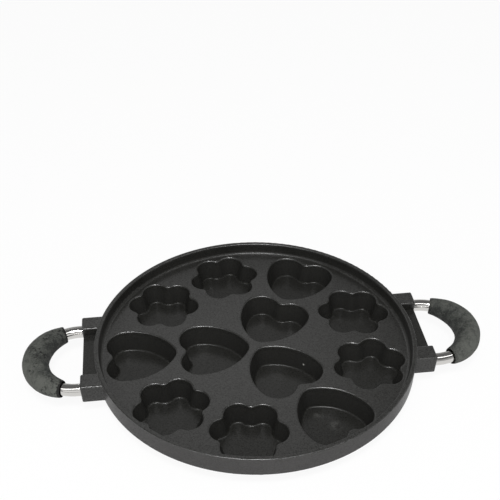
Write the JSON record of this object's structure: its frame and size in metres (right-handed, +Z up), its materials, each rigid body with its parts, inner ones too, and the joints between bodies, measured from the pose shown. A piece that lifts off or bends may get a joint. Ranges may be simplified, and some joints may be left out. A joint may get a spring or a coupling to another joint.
{
  "type": "multi-cavity cake pan",
  "caption": "Round cast baking pan with flower- and heart-shaped hollows sunk in a rimmed plate, and a U-shaped rod handle with a crescent grip on each side.",
  "frame": {"origin": "centre of the pan, on the plane its cup feet stand on", "axes": "+Z up; the handles lie along +X (right) and -X (left); -Y is the front"},
  "size_m": [0.4336, 0.2998, 0.0348],
  "materials": {
    "coated_casting": "dark non-stick coat, satin, fine speckle",
    "polished_rod": "polished steel",
    "grip_moulding": "moulded, matte, mottled grey-green",
    "pin_steel": "plain steel"
  },
  "bodies": {
    "root": {"pan_casting": "coated_casting", "handle_rod_left": "polished_rod", "handle_rod_right": "polished_rod", "grip_left": "grip_moulding", "grip_right": "grip_moulding", "rod_pin_left_front": "pin_steel", "rod_pin_left_back": "pin_steel", "rod_pin_right_front": "pin_steel", "rod_pin_right_back": "pin_steel"}
  },
  "joints": []
}
